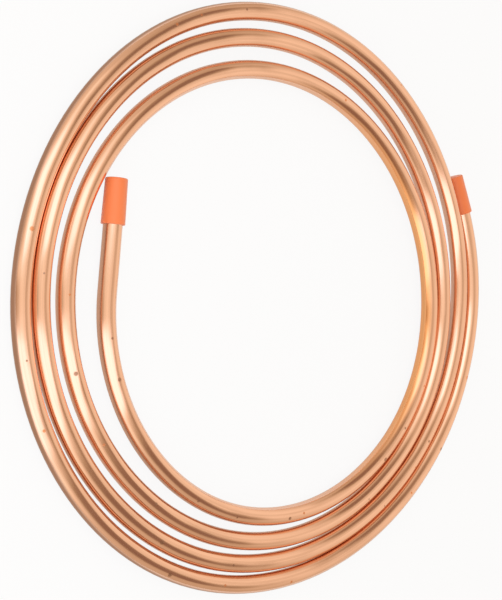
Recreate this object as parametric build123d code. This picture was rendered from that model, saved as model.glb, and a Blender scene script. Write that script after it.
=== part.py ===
from build123d import *
import os
from math import atan2, degrees

# Copper tube coil: one length of soft annealed copper tube, wound into a flat
# open spiral of about three and a half turns, with a vinyl cap pushed over each
# cut end. Millimetres, +Z up. It lies unheld on a level floor, with its overall
# box centred over the origin, and winds outwards counter-clockwise seen from above.

# Tube
TUBE_OD = 9.525
TUBE_WALL = 0.81

# Caps over the two cut ends. They taper a little towards the closed end. The tube
# stops short of that end by the same clearance that it has round its side.
CAP_RIM_WALL = 1.2
CAP_END_WALL = 0.75
CAP_LENGTH = 22.5
CAP_END_THICKNESS = 1.5
CAP_CLEARANCE = 0.05
CAP_END_ROUNDING = 0.6
CAP_RIM_ROUNDING = 0.4

# Straight stretch at each end, up to the closed end of its cap
INNER_STRAIGHT = 55.0
OUTER_STRAIGHT = 23.0

# The winding is a chain of tangent arcs, each an eighth of a turn. A spiral of
# touching turns starts at the inner bend radius and grows by one tube diameter a
# turn. Slack is what each arc's radius has on top of that, over the arc a turn
# before it, and it is what lets the turns spread apart or bunch together.
# The slack leaves the lead room, which is how far the inner straight stretch and the
# wall of its cap may run off the first turn towards the next one. Where they reach
# further, every turn is wound that much wider.
ARCS_PER_TURN = 8
LEAD_HEADING = 264.5
INNER_BEND_RADIUS = 105.0
FIRST_TURN_SLACK = (2.5, 3.5, 6.0, 0.0, 12.0, 13.5, 9.5, 5.0)
SECOND_TURN_SLACK = (7.0, 11.5, 3.5, 6.5, 7.5, -2.5, 3.0, 8.0)
THIRD_TURN_SLACK = (4.0, -1.5, 7.5, 9.5, -4.0, 2.0, 2.5, 9.0)
LAST_TURN_SLACK = (-0.5, -3.0, 5.0, 7.0)
LEAD_ROOM = 15.7

# The end arc is shorter. From the arc before it onwards the tube leans down out
# of the coil's plane, which tucks the outer cap under the turn inside it.
END_ARC_SLACK = -19.5
END_ARC_ANGLE = 23.0
TAIL_LEAN = 2.5

# Counted from the inner end, the arc whose middle rests on the floor, across the
# coil from the outer cap
RESTING_ARC = 25


def bend_radii():
    """Bend radius of every arc, from the inner end outwards."""
    lead_reach = INNER_STRAIGHT**2 / (2 * INNER_BEND_RADIUS) + CAP_CLEARANCE + CAP_RIM_WALL
    pitch = TUBE_OD + max(0, lead_reach - LEAD_ROOM)
    radii = []
    for index, slack in enumerate(FIRST_TURN_SLACK):
        radii.append(INNER_BEND_RADIUS + pitch * index / ARCS_PER_TURN + slack)
    for slack in SECOND_TURN_SLACK + THIRD_TURN_SLACK + LAST_TURN_SLACK + (END_ARC_SLACK,):
        radii.append(radii[-ARCS_PER_TURN] + pitch + slack)
    return radii


def tube_centre_line():
    """Straight and bent stretches of the tube's centre line, in order, inner end first."""
    hidden_in_cap = CAP_END_THICKNESS + CAP_CLEARANCE
    heading = Vector(1, 0).rotate(Axis.Z, LEAD_HEADING)
    stretches = [Line((0, 0), heading * (INNER_STRAIGHT - hidden_in_cap))]
    up = Vector(0, 0, 1)
    radii = bend_radii()
    end_arc = len(radii) - 1
    for index, radius in enumerate(radii):
        here = stretches[-1] @ 1
        along = stretches[-1] % 1
        if index == end_arc - 1:
            up = up.rotate(Axis((0, 0), along), -TAIL_LEAN)
        angle = END_ARC_ANGLE if index == end_arc else 360 / ARCS_PER_TURN
        bend_plane = Plane(origin=here, x_dir=along, z_dir=up)
        stretches.append(bend_plane * JernArc((0, 0), (1, 0), radius, angle))
    here = stretches[-1] @ 1
    along = stretches[-1] % 1
    stretches.append(Line(here, here + along * (OUTER_STRAIGHT - hidden_in_cap)))
    return stretches


def bent_tube(stretches):
    """The hollow tube: its ring section swept along the whole centre line."""
    path = Wire(stretches)
    cut_end = Plane(origin=path @ 0, z_dir=path % 0)
    ring = Circle(TUBE_OD / 2) - Circle(TUBE_OD / 2 - TUBE_WALL)
    return sweep(cut_end * ring, path=path).solid()


def end_cap(cut_end, into_tube):
    """A tapered cup over the tube's cut end, closed just beyond it."""
    bore_radius = TUBE_OD / 2 + CAP_CLEARANCE
    bore_floor = -CAP_CLEARANCE
    closed_end = bore_floor - CAP_END_THICKNESS
    rim = closed_end + CAP_LENGTH
    end_corner = (bore_radius + CAP_END_WALL, closed_end)
    rim_corner = (bore_radius + CAP_RIM_WALL, rim)
    wall_line = Polyline(
        (0, closed_end), end_corner, rim_corner, (bore_radius, rim),
        (bore_radius, bore_floor), (0, bore_floor), close=True,
    )
    half_section = make_face(wall_line)
    for corner, rounding in ((end_corner, CAP_END_ROUNDING), (rim_corner, CAP_RIM_ROUNDING)):
        nearest = half_section.vertices().sort_by_distance(corner)[0]
        half_section = fillet(nearest, rounding)
    cup = revolve(Plane.XZ * half_section, Axis.Z)
    return (Plane(origin=cut_end, z_dir=into_tube) * cup).solid()


def lie_on_floor(pieces, stretches):
    """Tip the coil until the outer cap and the turn across from it are level, then
    centre its box over the origin."""
    cap_bottom = TUBE_OD / 2 + CAP_CLEARANCE + CAP_END_WALL
    toe = stretches[-1] @ 1
    heel = stretches[RESTING_ARC] @ 0.5
    across = Vector(toe.X - heel.X, toe.Y - heel.Y)
    drop = (heel.Z - TUBE_OD / 2) - (toe.Z - cap_bottom)
    hinge = Axis(heel, Vector(0, 0, 1).cross(across))
    lean = degrees(atan2(drop, across.length))
    tipped = [piece.rotate(hinge, -lean) for piece in pieces]
    box = Compound(tipped).bounding_box()
    place = Location((-box.center().X, -box.center().Y, -box.min.Z))
    return [place * piece for piece in tipped]


stretches = tube_centre_line()
tube = bent_tube(stretches)
inner_cap = end_cap(stretches[0] @ 0, stretches[0] % 0)
outer_cap = end_cap(stretches[-1] @ 1, -(stretches[-1] % 1))
tube, inner_cap, outer_cap = lie_on_floor([tube, inner_cap, outer_cap], stretches)

os.makedirs("parts", exist_ok=True)
export_step(tube, "parts/copper_tube.step")
export_step(inner_cap, "parts/inner_end_cap.step")
export_step(outer_cap, "parts/outer_end_cap.step")
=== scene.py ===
from math import atan2, cos, pi, radians, sin

import bmesh
import bpy
from mathutils import Matrix, Vector


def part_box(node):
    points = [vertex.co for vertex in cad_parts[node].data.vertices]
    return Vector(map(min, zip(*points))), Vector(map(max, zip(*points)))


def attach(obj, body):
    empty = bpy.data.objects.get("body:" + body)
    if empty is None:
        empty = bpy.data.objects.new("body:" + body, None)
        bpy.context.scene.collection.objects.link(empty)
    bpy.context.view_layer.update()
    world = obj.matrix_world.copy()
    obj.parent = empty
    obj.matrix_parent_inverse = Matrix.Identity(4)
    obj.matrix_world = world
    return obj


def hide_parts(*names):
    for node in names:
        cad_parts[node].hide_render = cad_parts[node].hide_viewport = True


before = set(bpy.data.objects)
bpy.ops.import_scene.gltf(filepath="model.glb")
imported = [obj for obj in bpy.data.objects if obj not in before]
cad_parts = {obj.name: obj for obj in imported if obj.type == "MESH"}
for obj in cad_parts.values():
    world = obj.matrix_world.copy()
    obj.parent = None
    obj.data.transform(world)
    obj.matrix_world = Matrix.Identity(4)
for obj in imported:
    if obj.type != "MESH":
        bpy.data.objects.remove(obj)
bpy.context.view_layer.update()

# Camera
# It looks down on the flat coil from its left side, forty degrees off the coil's
# axis, from about three quarters of a metre, so the near turns look larger.
CAMERA_AIM = Vector((-0.0108, -0.0010, 0.0))
CAMERA_DISTANCE = 0.7525
CAMERA_TILT = radians(39.87)
CAMERA_SIDE = radians(-1.02)
CAMERA_LENS = 86.0
CAMERA_SENSOR_WIDTH = 36.0

to_camera = Vector((
    -sin(CAMERA_TILT) * cos(CAMERA_SIDE), -sin(CAMERA_TILT) * sin(CAMERA_SIDE), cos(CAMERA_TILT),
))
camera_right = Vector((0, 1, 0)).cross(to_camera).normalized()
camera_up = to_camera.cross(camera_right)
camera_data = bpy.data.cameras.new("studio_camera")
camera_data.lens = CAMERA_LENS
camera_data.sensor_width = CAMERA_SENSOR_WIDTH
camera = bpy.data.objects.new("studio_camera", camera_data)
bpy.context.collection.objects.link(camera)
camera.matrix_world = Matrix.Translation(CAMERA_AIM + CAMERA_DISTANCE * to_camera) @ Matrix(
    (camera_right, camera_up, to_camera)).transposed().to_4x4()
bpy.context.scene.camera = camera

# Copper tube
# One ten foot length of soft annealed copper tube, 3/8 inch outside, wound by
# machine into a flat open spiral and then handled, so its turns have sprung apart.
# Its bare drawn surface is bright, with drawing lines, dull patches and stains.
TUBE_RADIUS = 0.0047625
BORE_RADIUS = 0.0039525
TUBE_SIDES = 36
LEAD_HEADING = radians(264.5)
LEAD_LENGTH = 0.05345
TAIL_LENGTH = 0.02145
ARCS_PER_TURN = 8
ARC_TURN = radians(360 / ARCS_PER_TURN)
ARC_STEPS = 20
STRAIGHT_STEPS = 6
SHARP_EDGE = radians(50)

# The winding is a chain of tangent arcs. Slack is what each arc's radius has on top
# of a spiral of touching turns. The slacks were fitted to the real coil's edges, to
# half a millimetre. The end arc is shorter, and from the one before it the tube
# leans down, which tucks the outer cap under the turn inside it.
FIRST_TURN_RADIUS = 0.105
FIRST_TURN_SLACK = (0.0025, 0.0035, 0.006, 0.0, 0.012, 0.0135, 0.0095, 0.005)
LATER_TURNS_SLACK = (
    0.007, 0.0115, 0.0035, 0.0065, 0.0075, -0.0025, 0.003, 0.008,
    0.004, -0.0015, 0.0075, 0.0095, -0.004, 0.002, 0.0025, 0.009,
    -0.0005, -0.003, 0.005, 0.007,
)
END_ARC_SLACK = -0.0195
END_ARC_TURN = radians(23)
END_ARC_STEPS = 10
TAIL_LEAN = radians(2.5)
# The arc whose middle rests on the floor, counted from none at the inner end
RESTING_ARC = 24
CAP_CLOSED_END_RADIUS = 0.0055625


def wind_tube(tube, ring, straightened):
    """Draws the ring along the lead, the arcs and the tail.

    Gives the last ring, the place and direction of both ends, and the heel.
    """
    along = Vector((cos(LEAD_HEADING), sin(LEAD_HEADING), 0))
    up = Vector((0, 0, 1))
    here = Vector((0, 0, 0))
    travelled = 0.0
    start = (here.copy(), along.copy())
    ring, here, travelled = draw_straight(tube, ring, straightened, here, along, LEAD_LENGTH, travelled)
    bend_radii = []
    for index, slack in enumerate(FIRST_TURN_SLACK):
        bend_radii.append(FIRST_TURN_RADIUS + 2 * TUBE_RADIUS * index / ARCS_PER_TURN + slack)
    for slack in LATER_TURNS_SLACK + (END_ARC_SLACK,):
        bend_radii.append(bend_radii[-ARCS_PER_TURN] + 2 * TUBE_RADIUS + slack)
    end_arc = len(bend_radii) - 1
    heel = None
    for arc, bend_radius in enumerate(bend_radii):
        if arc == end_arc - 1:
            up = Matrix.Rotation(-TAIL_LEAN, 3, along) @ up
        turn = END_ARC_TURN if arc == end_arc else ARC_TURN
        steps = END_ARC_STEPS if arc == end_arc else ARC_STEPS
        inward = up.cross(along)
        centre = here + bend_radius * inward
        count_before = len(tube.verts)
        ring = bmesh.ops.spin(tube, geom=ring, cent=centre, axis=up, angle=turn, steps=steps)["geom_last"]
        tube.verts.ensure_lookup_table()
        for vertex in tube.verts[count_before:]:
            spoke = vertex.co - centre
            turned = atan2(spoke.dot(along), -spoke.dot(inward))
            vertex[straightened].z = travelled + bend_radius * turned
        if arc == RESTING_ARC:
            heel = centre + Matrix.Rotation(turn / 2, 3, up) @ (here - centre)
        here = centre + Matrix.Rotation(turn, 3, up) @ (here - centre)
        along = Matrix.Rotation(turn, 3, up) @ along
        travelled += bend_radius * turn
    ring, here, travelled = draw_straight(tube, ring, straightened, here, along, TAIL_LENGTH, travelled)
    return ring, start, (here, along), heel


def draw_straight(tube, ring, straightened, here, along, length, travelled):
    """Draws the ring straight on. Gives the new ring, its place and the distance from the inner end."""
    count_before = len(tube.verts)
    step = along * length / STRAIGHT_STEPS
    ring = bmesh.ops.spin(
        tube, geom=ring, cent=here, axis=along, angle=0, dvec=step, steps=STRAIGHT_STEPS,
    )["geom_last"]
    tube.verts.ensure_lookup_table()
    for vertex in tube.verts[count_before:]:
        vertex[straightened].z = travelled + (vertex.co - here).dot(along)
    return ring, here + along * length, travelled + length


tube = bmesh.new()
straightened = tube.verts.layers.float_vector.new("straightened")
lead = Vector((cos(LEAD_HEADING), sin(LEAD_HEADING), 0))
cut_end = Matrix((lead.cross(Vector((0, 0, 1))), (0, 0, 1), -lead)).transposed().to_4x4()
for radius in (TUBE_RADIUS, BORE_RADIUS):
    half_side = Matrix.Rotation(pi / TUBE_SIDES, 4, "Z")
    circle = bmesh.ops.create_circle(tube, segments=TUBE_SIDES, radius=radius, matrix=half_side)["verts"]
    for vertex in circle:
        vertex[straightened] = vertex.co
    bmesh.ops.transform(tube, matrix=cut_end, verts=circle)
first_ring = list(tube.verts) + list(tube.edges)
first_ring_edges = list(tube.edges)
last_ring, inner_end, outer_end, heel = wind_tube(tube, first_ring, straightened)
bmesh.ops.bridge_loops(tube, edges=first_ring_edges)
bmesh.ops.bridge_loops(tube, edges=[e for e in last_ring if isinstance(e, bmesh.types.BMEdge)])
bmesh.ops.recalc_face_normals(tube, faces=tube.faces)

# The coil lies on its outer cap and on the heel across from it
toe = outer_end[0]
across = Vector((toe.x - heel.x, toe.y - heel.y, 0))
drop = (heel.z - TUBE_RADIUS) - (toe.z - CAP_CLOSED_END_RADIUS)
lean = Matrix.Rotation(-atan2(drop, across.length), 3, Vector((0, 0, 1)).cross(across))
bmesh.ops.rotate(tube, cent=heel, matrix=lean, verts=tube.verts)
lowest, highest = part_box("copper_tube")
corners = [Vector([pick(v.co[axis] for v in tube.verts) for axis in range(3)]) for pick in (min, max)]
settle = (lowest + highest) / 2 - (corners[0] + corners[1]) / 2
bmesh.ops.translate(tube, verts=tube.verts, vec=settle)
inner_end = (heel + lean @ (inner_end[0] - heel) + settle, lean @ inner_end[1])
outer_end = (heel + lean @ (outer_end[0] - heel) + settle, -(lean @ outer_end[1]))

for face in tube.faces:
    face.smooth = True
tube_mesh = bpy.data.meshes.new("copper_tube_coil")
tube.to_mesh(tube_mesh)
tube.free()
tube_mesh.set_sharp_from_angle(angle=SHARP_EDGE)
tube_piece = bpy.data.objects.new("copper_tube_coil", tube_mesh)
bpy.context.collection.objects.link(tube_piece)


def add_node(tree, kind, inputs=(), **settings):
    """One shader node with its settings. Each input is set to a value or joined to a node's output."""
    node = tree.nodes.new(kind)
    for name, value in settings.items():
        setattr(node, name, value)
    for name, value in dict(inputs).items():
        if isinstance(value, bpy.types.NodeSocket):
            tree.links.new(value, node.inputs[name])
        else:
            node.inputs[name].default_value = value
    return node


def mix_colours(tree, share, first, second):
    """One colour over another by a share. Each colour is a value or another node's output."""
    node = add_node(tree, "ShaderNodeMix", {"Factor": share}, data_type="RGBA")
    for socket, colour in ((node.inputs[6], first), (node.inputs[7], second)):
        if isinstance(colour, bpy.types.NodeSocket):
            tree.links.new(colour, socket)
        else:
            socket.default_value = colour + (1,)
    return node.outputs[2]


def sum_of(tree, operation, *terms, **settings):
    """A Math node on its terms."""
    node = add_node(tree, "ShaderNodeMath", dict(enumerate(terms)), operation=operation, **settings)
    return node.outputs[0]


def fade(tree, value, start, end, first=0.0, last=1.0):
    """A smooth change from first to last while the value goes from start to end."""
    node = add_node(tree, "ShaderNodeMapRange", {
        "Value": value, "From Min": start, "From Max": end, "To Min": first, "To Max": last,
    }, interpolation_type="SMOOTHSTEP")
    return node.outputs["Result"]


def grain(tree, place, around, along, detail):
    """Noise on the straightened tube, with so many grains a metre across it and along it."""
    scaled = {0: place, 1: (around, around, along)}
    stretched = add_node(tree, "ShaderNodeVectorMath", scaled, operation="MULTIPLY").outputs[0]
    noise = add_node(tree, "ShaderNodeTexNoise", {"Vector": stretched, "Scale": 1.0, "Detail": detail})
    return noise.outputs["Fac"]


COPPER = (0.955, 0.62, 0.46)
TARNISH = (0.44, 0.24, 0.14)
# Painted shade: a darker warm copper for the lower flanks, standing for the shaded floor they reflect
FLANK_SHADE = (0.78, 0.41, 0.24)
# Painted highlight: a golden reflection on the inward side of the first turn
GOLDEN_HIGHLIGHT = (0.95, 0.42, 0.12)
# Painted shade: a darker copper on the outward side near both ends, for darker reflections there
END_SHADE = (0.37, 0.19, 0.11)
DARK_STAIN = (0.26, 0.12, 0.06)
ORANGE_STAIN = (0.82, 0.30, 0.10)
EDGE_TINT = (1.0, 0.95, 0.9)
# Places on the tube's section, in metres from its centre, over which a painted shade or a painted highlight
# comes in.
# Upward is measured for the flanks, and outward from the coil's centre for the sides.
FLANK_SHADE_DOWN = (0.0034, 0.0002)
FLANK_SHADE_OUTWARD = (-0.0030, 0.0010)
GOLDEN_HIGHLIGHT_INWARD = (-0.0010, -0.0046)
END_SHADE_OUTWARD = (0.0017, 0.0037)
END_SHADE_SLANT = -0.55
# Distances from the inner end, in metres, over which the painted golden highlight and the painted shade
# near the ends come in or go out
GOLDEN_HIGHLIGHT_COMES_IN = (0.25, 0.36)
GOLDEN_HIGHLIGHT_GOES_OUT = (0.62, 0.46)
END_SHADE_GOES_OUT = (0.32, 0.10)
END_SHADE_COMES_IN = (2.05, 2.25)
FLANK_SHADE_SHARE = 0.55
FLANK_SHADE_LEFT_INSIDE = 0.3
GOLDEN_HIGHLIGHT_SHARE = 0.75
END_SHADE_SHARE_INSIDE = 0.4
END_SHADE_SHARE_OUTSIDE = 0.9
PATCH_COMES_IN = (0.45, 0.75)
PATCH_SHARE = 0.18
STREAK_SHARE = 0.6
# The surface is split into cells, and a share of them holds a stain. Stain sizes are
# in cells.
STAIN_CELLS_PER_METRE = 70.0
STAINED_SHARE = 0.15
SMALLEST_STAIN = 0.025
STAIN_SIZE_SPREAD = 0.05
STAIN_EDGE = (1.5, 0.7)
ORANGE_STAIN_SHARE = 0.4
ORANGE_STAIN_STRENGTH = 0.75
DARK_STAIN_STRENGTH = 0.65
BRIGHT_ROUGHNESS = 0.08
LINE_ROUGHNESS = 0.08
PATCH_ROUGHNESS = 0.45
STAIN_ROUGHNESS = 0.25
WAVE_HEIGHT = 0.0010
LINE_HEIGHT = 0.00002

bright_copper = bpy.data.materials.new("bright_copper")
bright_copper.use_nodes = True
tree = bright_copper.node_tree
place = add_node(tree, "ShaderNodeAttribute", attribute_name="straightened").outputs["Vector"]
across_ring = add_node(tree, "ShaderNodeSeparateXYZ", {"Vector": place}).outputs
drawing_lines = grain(tree, place, 1500, 6, 2)
fine_lines = grain(tree, place, 3500, 12, 1)
waviness = grain(tree, place, 60, 26, 1)
dull_patches = grain(tree, place, 130, 18, 4)

# The lower flanks, mostly on the outward side, are painted a darker warm copper, a painted shade
# for the shaded floor they reflect. The inward side of the first turn gets a painted golden highlight.
# The outward side near both ends, most of all near the outer one, gets a darker painted shade.
outward, upward, distance = across_ring["X"], across_ring["Y"], across_ring["Z"]
painted_flank_shade = fade(tree, upward, *FLANK_SHADE_DOWN, 0.0, FLANK_SHADE_SHARE)
toward_outside = fade(tree, outward, *FLANK_SHADE_OUTWARD, FLANK_SHADE_LEFT_INSIDE, 1.0)
painted_flank_shade = sum_of(tree, "MULTIPLY", painted_flank_shade, toward_outside)
inward_side = fade(tree, outward, *GOLDEN_HIGHLIGHT_INWARD, 0.0, GOLDEN_HIGHLIGHT_SHARE)
painted_golden_highlight = sum_of(tree, "MULTIPLY", inward_side, fade(tree, distance, *GOLDEN_HIGHLIGHT_COMES_IN))
painted_golden_highlight = sum_of(tree, "MULTIPLY", painted_golden_highlight, fade(tree, distance, *GOLDEN_HIGHLIGHT_GOES_OUT))
outward_side = sum_of(tree, "MULTIPLY_ADD", upward, END_SHADE_SLANT, outward)
outward_side = fade(tree, outward_side, *END_SHADE_OUTWARD)
near_inner_end = fade(tree, distance, *END_SHADE_GOES_OUT, 0.0, END_SHADE_SHARE_INSIDE)
near_outer_end = fade(tree, distance, *END_SHADE_COMES_IN, 0.0, END_SHADE_SHARE_OUTSIDE)
near_ends = sum_of(tree, "MAXIMUM", near_inner_end, near_outer_end)
painted_end_shade = sum_of(tree, "MULTIPLY", outward_side, near_ends)
patch = fade(tree, dull_patches, *PATCH_COMES_IN, 0.0, PATCH_SHARE)
streaks = sum_of(tree, "SUBTRACT", drawing_lines, 0.5)
streaked = sum_of(tree, "MULTIPLY_ADD", streaks, STREAK_SHARE, patch, use_clamp=True)
surface = mix_colours(tree, painted_flank_shade, COPPER, FLANK_SHADE)
surface = mix_colours(tree, painted_golden_highlight, surface, GOLDEN_HIGHLIGHT)
surface = mix_colours(tree, painted_end_shade, surface, END_SHADE)
surface = mix_colours(tree, streaked, surface, TARNISH)

# Small stains, sparse ones all over, laid out on the tube's unrolled surface
round_tube = sum_of(tree, "ARCTAN2", outward, upward)
round_tube = sum_of(tree, "MULTIPLY", round_tube, TUBE_RADIUS)
unrolled = add_node(tree, "ShaderNodeCombineXYZ", {"X": round_tube, "Y": distance}).outputs["Vector"]
layout = {"Vector": unrolled, "Scale": STAIN_CELLS_PER_METRE}
cells = add_node(tree, "ShaderNodeTexVoronoi", layout, voronoi_dimensions="2D")
chance = add_node(tree, "ShaderNodeSeparateColor", {"Color": cells.outputs["Color"]}).outputs
speck_size = sum_of(tree, "MULTIPLY_ADD", chance["Green"], STAIN_SIZE_SPREAD, SMALLEST_STAIN)
speck = fade(tree, sum_of(tree, "DIVIDE", cells.outputs["Distance"], speck_size), *STAIN_EDGE)
speck = sum_of(tree, "MULTIPLY", speck, sum_of(tree, "LESS_THAN", chance["Red"], STAINED_SHARE))
dark = sum_of(tree, "MULTIPLY", speck, sum_of(tree, "GREATER_THAN", chance["Blue"], ORANGE_STAIN_SHARE))
orange = sum_of(tree, "SUBTRACT", speck, dark)
surface = mix_colours(tree, sum_of(tree, "MULTIPLY", orange, ORANGE_STAIN_STRENGTH), surface, ORANGE_STAIN)
surface = mix_colours(tree, sum_of(tree, "MULTIPLY", dark, DARK_STAIN_STRENGTH), surface, DARK_STAIN)

shader = tree.nodes["Principled BSDF"]
tree.links.new(surface, shader.inputs["Base Color"])
shader.inputs["Metallic"].default_value = 1.0
shader.inputs["Specular Tint"].default_value = EDGE_TINT + (1,)
matt = sum_of(tree, "MULTIPLY_ADD", drawing_lines, LINE_ROUGHNESS, BRIGHT_ROUGHNESS)
matt = sum_of(tree, "MULTIPLY_ADD", patch, PATCH_ROUGHNESS, matt)
matt = sum_of(tree, "MULTIPLY_ADD", sum_of(tree, "MAXIMUM", dark, orange), STAIN_ROUGHNESS, matt)
tree.links.new(matt, shader.inputs["Roughness"])
waves = add_node(tree, "ShaderNodeBump", {"Height": waviness, "Distance": WAVE_HEIGHT})
lines = add_node(tree, "ShaderNodeBump", {
    "Height": sum_of(tree, "ADD", drawing_lines, fine_lines), "Distance": LINE_HEIGHT,
    "Normal": waves.outputs["Normal"],
})
tree.links.new(lines.outputs["Normal"], shader.inputs["Normal"])
tube_mesh.materials.append(bright_copper)
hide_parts("copper_tube")
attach(tube_piece, "root")

# End caps
# Two dip-moulded vinyl caps in bright orange, pushed over the cut ends to keep dirt
# out. They are soft, satin, closed at one end, and stretched wider at the open rim.
CAP_BORE_RADIUS = 0.0048125
CAP_RIM_RADIUS = 0.0059625
CAP_TIP_RADIUS = 0.0055125
CAP_END_THICKNESS = 0.0015
CAP_END_GAP = 0.00005
CAP_LENGTH = 0.0225
CAP_TIP_ROUNDING = 0.0006
CAP_RIM_ROUNDING = 0.0004
CAP_ROUNDING_STEPS = 4
CAP_SIDES = 64
MERGE_DISTANCE = 0.00001
VINYL_ORANGE = (1.0, 0.265, 0.088)
VINYL_ROUGHNESS = 0.40
VINYL_SHEEN = 0.30

orange_vinyl = bpy.data.materials.new("orange_vinyl")
orange_vinyl.use_nodes = True
shader = orange_vinyl.node_tree.nodes["Principled BSDF"]
shader.inputs["Base Color"].default_value = VINYL_ORANGE + (1,)
shader.inputs["Roughness"].default_value = VINYL_ROUGHNESS
shader.inputs["Sheen Weight"].default_value = VINYL_SHEEN


def push_on_cap(name, node, tube_end):
    """A tapered vinyl cup over one cut end of the tube."""
    place, into_tube = tube_end
    closed_end = -CAP_END_GAP - CAP_END_THICKNESS
    rim = closed_end + CAP_LENGTH
    wall_line = (
        (0, closed_end), (CAP_TIP_RADIUS, closed_end), (CAP_RIM_RADIUS, rim),
        (CAP_BORE_RADIUS, rim), (CAP_BORE_RADIUS, -CAP_END_GAP), (0, -CAP_END_GAP),
    )
    cap = bmesh.new()
    corners = [cap.verts.new((radius, 0, height)) for radius, height in wall_line]
    for first, second in zip(corners, corners[1:]):
        cap.edges.new((first, second))
    for corner, rounding in ((corners[1], CAP_TIP_ROUNDING), (corners[2], CAP_RIM_ROUNDING)):
        bmesh.ops.bevel(
            cap, geom=[corner], affect="VERTICES", offset=rounding, segments=CAP_ROUNDING_STEPS,
            profile=0.5, material=-1,
        )
    cap.verts.ensure_lookup_table()
    half_section = cap.verts[:] + cap.edges[:]
    bmesh.ops.spin(
        cap, geom=half_section, cent=(0, 0, 0), axis=(0, 0, 1), angle=2 * pi, steps=CAP_SIDES,
        use_merge=True,
    )
    bmesh.ops.remove_doubles(cap, verts=cap.verts, dist=MERGE_DISTANCE)
    bmesh.ops.recalc_face_normals(cap, faces=cap.faces)
    onto_tube = Matrix.Translation(place) @ into_tube.to_track_quat("Z", "Y").to_matrix().to_4x4()
    bmesh.ops.transform(cap, matrix=onto_tube, verts=cap.verts)
    for face in cap.faces:
        face.smooth = True
    mesh = bpy.data.meshes.new(name)
    cap.to_mesh(mesh)
    cap.free()
    mesh.set_sharp_from_angle(angle=SHARP_EDGE)
    mesh.materials.append(orange_vinyl)
    piece = bpy.data.objects.new(name, mesh)
    bpy.context.collection.objects.link(piece)
    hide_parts(node)
    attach(piece, "root")


push_on_cap("inner_vinyl_cap", "inner_end_cap", inner_end)
push_on_cap("outer_vinyl_cap", "outer_end_cap", outer_end)

# Floor
# A plain white sheet under the coil. It shows as white, and keeps a faint soft
# shadow under the turns.
FLOOR_HALF_WIDTH = 4.0
FLOOR_OWN_WHITE = 0.90
FLOOR_WHITE_IN_COPPER = 0.38
PAPER_WHITE = (0.88, 0.92, 0.95)

floor = bmesh.new()
bmesh.ops.create_grid(floor, x_segments=1, y_segments=1, size=FLOOR_HALF_WIDTH)
floor_mesh = bpy.data.meshes.new("white_floor")
floor.to_mesh(floor_mesh)
floor.free()
floor_piece = bpy.data.objects.new("white_floor", floor_mesh)
bpy.context.collection.objects.link(floor_piece)

white_sheet = bpy.data.materials.new("white_sheet")
white_sheet.use_nodes = True
tree = white_sheet.node_tree
paper = tree.nodes["Principled BSDF"]
paper.inputs["Base Color"].default_value = PAPER_WHITE + (1,)
paper.inputs["Roughness"].default_value = 1.0
paper.inputs["Specular IOR Level"].default_value = 0.0
ray = add_node(tree, "ShaderNodeLightPath").outputs
seen = sum_of(tree, "MAXIMUM", ray["Is Camera Ray"], ray["Is Transmission Ray"])
seen = sum_of(tree, "MULTIPLY", seen, FLOOR_OWN_WHITE)
share = sum_of(tree, "MULTIPLY_ADD", ray["Is Glossy Ray"], FLOOR_WHITE_IN_COPPER, seen)
own_white = add_node(tree, "ShaderNodeEmission", {"Color": (1, 1, 1, 1), "Strength": 1.0})
sheet = add_node(tree, "ShaderNodeMixShader",
                 {0: share, 1: paper.outputs["BSDF"], 2: own_white.outputs["Emission"]})
tree.links.new(sheet.outputs["Shader"], tree.nodes["Material Output"].inputs["Surface"])
floor_mesh.materials.append(white_sheet)

# Studio light
# The coil lies in a glowing light tent, a pale fabric ball halved by the floor. Two
# softboxes shine through it beside the camera, and its roof beyond them is darker.
# The levels were read off the reflections in the real coil's copper.
TENT_RADIUS = 0.65
TENT_CENTRE = Vector((0, 0, 0.05))
TENT_SEGMENTS = 48
TENT_RINGS = 24
TENT_COLOUR = (1.0, 0.92, 0.84)
SOFTBOX_SHINE = (0.55, 0.55, 0.71)
RED_GAIN = 0.095
RED_COMES_IN = (1.05, 0.88)
BLUE_CHANGE = -0.11
BLUE_GOES_OUT = (1.15, 1.0)
BLUE_COMES_IN = (0.0, 0.45)
ROOM_WHITE = (0.97, 0.97, 0.97)

tent = bmesh.new()
bmesh.ops.create_uvsphere(tent, u_segments=TENT_SEGMENTS, v_segments=TENT_RINGS, radius=TENT_RADIUS)
bmesh.ops.translate(tent, verts=tent.verts, vec=TENT_CENTRE)
tent_mesh = bpy.data.meshes.new("light_tent")
tent.to_mesh(tent_mesh)
tent.free()
tent_piece = bpy.data.objects.new("light_tent", tent_mesh)
tent_piece.visible_camera = False
bpy.context.collection.objects.link(tent_piece)


def level_along(tree, place, stops):
    """A smooth line through a level at each place from -1 to 1.

    The ramp holds only 0 to 1, so levels from -1 to 2 are squeezed into it and drawn out again.
    """
    grey = add_node(tree, "ShaderNodeValToRGB", {"Fac": sum_of(tree, "MULTIPLY_ADD", place, 0.5, 0.5)})
    grey.color_ramp.interpolation = "CARDINAL"
    while len(grey.color_ramp.elements) < len(stops):
        grey.color_ramp.elements.new(1.0)
    for element, (stop, level) in zip(grey.color_ramp.elements, stops):
        element.position = (stop + 1) / 2
        squeezed = (level + 1) / 3
        element.color = (squeezed, squeezed, squeezed, 1)
    return sum_of(tree, "MULTIPLY_ADD", grey.outputs["Color"], 3.0, -1.0)


def between(tree, share, first, second):
    """The first level, going over to the second by a share."""
    return add_node(tree, "ShaderNodeMix", {"Factor": share, "A": first, "B": second}).outputs["Result"]


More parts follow.
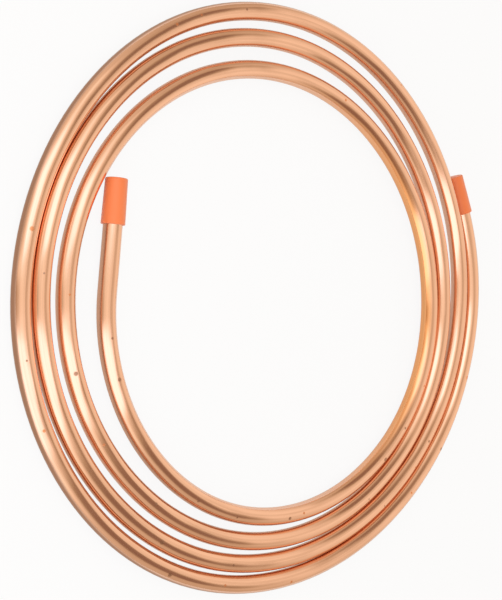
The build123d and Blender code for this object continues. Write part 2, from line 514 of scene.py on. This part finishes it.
glowing_fabric = bpy.data.materials.new("glowing_fabric")
glowing_fabric.use_nodes = True
glowing_fabric.cycles.emission_sampling = "NONE"
tree = glowing_fabric.node_tree
place = add_node(tree, "ShaderNodeTexCoord").outputs["Object"]
toward = add_node(tree, "ShaderNodeVectorMath", {0: place, 1: TENT_CENTRE}, operation="SUBTRACT").outputs[0]
toward = add_node(tree, "ShaderNodeVectorMath", {0: toward}, operation="NORMALIZE").outputs[0]
toward = add_node(tree, "ShaderNodeSeparateXYZ", {"Vector": toward}).outputs
x, y, z = toward["X"], toward["Y"], toward["Z"]
aside = sum_of(tree, "ABSOLUTE", y)

# Pale fabric on the camera's side, up to where the roof turns dark
roof_starts = level_along(tree, y, (
    (-1.0, -0.10), (-0.84, -0.27), (-0.72, -0.36), (-0.60, -0.29), (-0.48, -0.09), (-0.30, 0.14),
    (-0.18, 0.30), (0.0, 0.42), (0.14, 0.32), (0.30, 0.13), (0.60, -0.03), (0.78, 0.0), (1.0, 0.05),
))
camera_side = level_along(tree, sum_of(tree, "SUBTRACT", x, roof_starts), (
    (-1.0, 1.12), (-0.45, 1.08), (-0.27, 1.05), (-0.13, 0.80), (0.0, 0.55), (0.10, 0.38), (0.22, 0.25),
    (0.35, 0.20), (1.0, 0.20),
))
HEM_SIDE = (0.05, 0.30)
HEM_HEIGHT = (0.54, 0.20)
HEM_CHANGE = -0.36
upper_hem = fade(tree, y, *HEM_SIDE, 0.0, HEM_CHANGE)
camera_side = sum_of(tree, "MULTIPLY_ADD", fade(tree, z, *HEM_HEIGHT), upper_hem, camera_side)
middle = level_along(tree, x, (
    (-1.0, 0.50), (-0.90, 0.76), (-0.72, 0.90), (-0.20, 0.88), (0.0, 0.72), (0.20, 0.59), (0.42, 0.58),
    (0.58, 0.72), (0.78, 0.80), (1.0, 0.92),
))
low_edges = level_along(tree, x, ((-1.0, 0.85), (-0.5, 0.74), (0.0, 0.54), (0.5, 0.56), (1.0, 0.55)))
MIDDLE_STRIP_ENDS = (0.04, 0.20)
LOW_EDGES_START = (0.76, 0.90)
level = between(tree, fade(tree, aside, *MIDDLE_STRIP_ENDS), middle, camera_side)
level = between(tree, fade(tree, aside, *LOW_EDGES_START), level, low_edges)

# The far side, past a straight seam of the fabric
far_side = level_along(tree, y, (
    (-1.0, 0.48), (-0.84, 0.58), (-0.72, 0.71), (-0.60, 0.80), (-0.30, 0.90), (0.0, 0.87), (0.30, 0.90),
    (0.60, 0.84), (0.74, 0.70), (0.86, 0.54), (1.0, 0.42),
))
seam = level_along(tree, aside, ((-1.0, 0.53), (0.62, 0.53), (0.74, 0.45), (0.86, 0.30), (1.0, 0.25)))
SEAM_BLEND = (-0.12, 0.12)
MIDDLE_SEAM_BLEND = (0.55, 0.95)
past_seam = fade(tree, sum_of(tree, "SUBTRACT", x, seam), *SEAM_BLEND)
middle_past_seam = fade(tree, x, *MIDDLE_SEAM_BLEND)
past_seam = between(tree, fade(tree, aside, *MIDDLE_STRIP_ENDS), middle_past_seam, past_seam)
level = between(tree, past_seam, level, far_side)

# The softboxes, with soft edges
LOWER_BOX_SIDE = (-0.06, -0.21)
LOWER_BOX_SLOPE = -1.9
LOWER_BOX_SHIFT = -0.60
LOWER_BOX_EDGE = (0.10, -0.16)
UPPER_BOX_NEAR_SIDE = (0.10, 0.26)
UPPER_BOX_FAR_SIDE = (0.72, 0.54)
UPPER_BOX_SLOPE = 0.55
UPPER_BOX_EDGE = (0.08, -0.14)
UPPER_BOX_END = (-0.92, -0.70)
lower_box = fade(tree, y, *LOWER_BOX_SIDE)
lower_edge = sum_of(tree, "MULTIPLY_ADD", y, LOWER_BOX_SLOPE, sum_of(tree, "ADD", x, LOWER_BOX_SHIFT))
lower_box = sum_of(tree, "MULTIPLY", lower_box, fade(tree, lower_edge, *LOWER_BOX_EDGE))
near_side = fade(tree, y, *UPPER_BOX_NEAR_SIDE)
upper_box = sum_of(tree, "MULTIPLY", near_side, fade(tree, y, *UPPER_BOX_FAR_SIDE))
upper_edge = sum_of(tree, "MULTIPLY_ADD", y, UPPER_BOX_SLOPE, x)
upper_box = sum_of(tree, "MULTIPLY", upper_box, fade(tree, upper_edge, *UPPER_BOX_EDGE))
upper_box = sum_of(tree, "MULTIPLY", upper_box, fade(tree, x, *UPPER_BOX_END))
boxes = sum_of(tree, "ADD", lower_box, upper_box)
warmth = fade(tree, level, *RED_COMES_IN)
blue_loss = sum_of(tree, "MULTIPLY", fade(tree, level, *BLUE_GOES_OUT), fade(tree, level, *BLUE_COMES_IN))
glow = add_node(tree, "ShaderNodeCombineColor", {
    "Red": sum_of(tree, "MULTIPLY_ADD", warmth, RED_GAIN, level), "Green": level,
    "Blue": sum_of(tree, "MULTIPLY_ADD", blue_loss, BLUE_CHANGE, level),
}).outputs["Color"]
shine = {0: SOFTBOX_SHINE, "Scale": boxes}
shine = add_node(tree, "ShaderNodeVectorMath", shine, operation="SCALE").outputs[0]
glow = {0: glow, 1: TENT_COLOUR, 2: shine}
glow = add_node(tree, "ShaderNodeVectorMath", glow, operation="MULTIPLY_ADD").outputs[0]
tree.nodes.remove(tree.nodes["Principled BSDF"])
fabric = add_node(tree, "ShaderNodeEmission", {"Color": glow, "Strength": 1.0})
tree.links.new(fabric.outputs["Emission"], tree.nodes["Material Output"].inputs["Surface"])
tent_mesh.materials.append(glowing_fabric)

# Past the floor's edge the camera sees a pale room
studio = bpy.data.worlds.new("pale_studio")
bpy.context.scene.world = studio
studio.use_nodes = True
studio.node_tree.nodes["Background"].inputs["Color"].default_value = ROOM_WHITE + (1,)

view = bpy.context.scene.view_settings
view.view_transform = "Standard"
